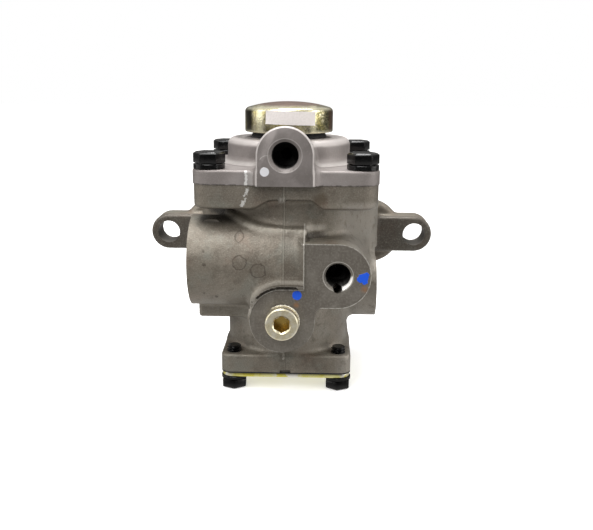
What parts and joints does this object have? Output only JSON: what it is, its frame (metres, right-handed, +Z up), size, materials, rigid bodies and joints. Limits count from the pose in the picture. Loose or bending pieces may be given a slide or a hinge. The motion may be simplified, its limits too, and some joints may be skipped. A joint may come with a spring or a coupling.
{
  "type": "air brake relay valve",
  "caption": "Cast relay valve for vehicle air brakes: capped cover with a control port, body with side and front air ports, two drilled mounting ears and an exhaust plate at the base.",
  "frame": {"origin": "midway between the centres of the two ear holes, on the mounting face", "axes": "+X to the right along the ears, +Y into the mounting face (backwards), +Z up along the valve's axis"},
  "size_m": [0.1724, 0.11, 0.1539],
  "materials": {
    "cast_body": "as cast, matt, warm grey",
    "cast_cover": "as cast, matt, light grey",
    "rubber": "matt black",
    "black_steel": "black oxide, oiled",
    "zinc_steel": "yellow zinc plate",
    "gold_plug": "pale yellow zinc plate",
    "label": "blank off-white sticker",
    "plain_steel": "bright",
    "machined_aluminium": "turned",
    "brass": "turned"
  },
  "bodies": {
    "valve_housing": {"body": "cast_body", "cover": "cast_cover", "cover_seal_ring": "rubber", "cover_screws": "black_steel", "cover_lock_washers": "black_steel", "top_cap": "zinc_steel", "cap_neck_seal": "rubber", "blank_label": "label", "pipe_plug": "gold_plug", "base_gasket": "rubber", "base_plate": "zinc_steel", "base_screws": "black_steel", "base_lock_washers": "black_steel", "exhaust_flap": "rubber", "flap_washer": "plain_steel", "flap_rivet": "plain_steel", "piston_return_spring": "plain_steel", "valve_spring": "plain_steel", "valve_spring_seat": "plain_steel", "valve_guide": "machined_aluminium", "guide_seal_ring": "rubber", "stem_seal_ring": "rubber"},
    "piston_group": {"relay_piston": "machined_aluminium", "piston_seal_ring": "rubber"},
    "inlet_exhaust_valve": {"valve_stem": "brass", "valve_disc": "rubber"}
  },
  "joints": [
    {"name": "piston_slide", "type": "slide", "parent": "valve_housing", "child": "piston_group", "axis": [0, 0, -1], "range_m": [0, 0.0038], "stiffness_N_per_m": 1500, "springref_m": -0.006, "deforming": ["piston_return_spring"]},
    {"name": "valve_slide", "type": "slide", "parent": "valve_housing", "child": "inlet_exhaust_valve", "axis": [0, 0, -1], "range_m": [0, 0.0025], "stiffness_N_per_m": 1500, "springref_m": -0.004, "deforming": ["valve_spring"]}
  ],
  "couplings": [
    {"joint": "valve_slide", "follows": "piston_slide", "ratio": 0.6578}
  ]
}
